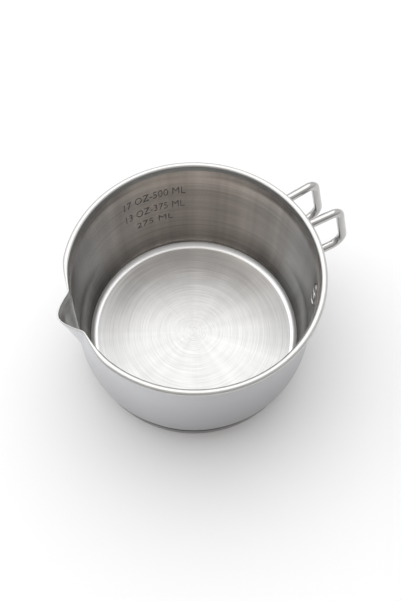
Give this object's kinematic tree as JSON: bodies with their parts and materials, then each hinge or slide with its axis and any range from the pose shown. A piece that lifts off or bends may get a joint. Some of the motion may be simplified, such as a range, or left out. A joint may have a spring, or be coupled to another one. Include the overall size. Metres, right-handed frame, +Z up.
{
  "type": "candle melting pot",
  "caption": "Round brushed steel melting pot with a rolled rim, pouring beak, encapsulated base and a pair of folding wire loop handles.",
  "frame": {"origin": "middle of the base cap's flat underside, on the pot's axis", "axes": "+Z up along the pot's axis, -X towards the pouring beak, +X towards the handles"},
  "size_m": [0.1516, 0.122, 0.071],
  "materials": {
    "brushed_steel_sheet": "brushed in rings, satin",
    "pressed_steel_sheet": "plain rolled sheet, satin",
    "polished_wire": "polished stainless wire",
    "polished_rivet": "polished stainless rivet",
    "aluminium_disc": "plain rolled aluminium"
  },
  "bodies": {
    "pot": {"pot_body": "brushed_steel_sheet", "base_cap": "brushed_steel_sheet", "heat_spreader_disc": "aluminium_disc", "handle_strap": "pressed_steel_sheet", "rivet_upper": "polished_rivet", "rivet_lower": "polished_rivet"},
    "front_loop": {"loop_handle_front": "polished_wire"},
    "rear_loop": {"loop_handle_rear": "polished_wire"}
  },
  "joints": [
    {"name": "loop_front_fold", "type": "hinge", "parent": "pot", "child": "front_loop", "pos_m": [0.06007, 0.00578, 0.0495], "axis": [0, 0, 1], "range_deg": [-92, 10]},
    {"name": "loop_rear_fold", "type": "hinge", "parent": "pot", "child": "rear_loop", "pos_m": [0.05596, 0.02261, 0.0495], "axis": [0, 0, 1], "range_deg": [-12, 102]}
  ]
}
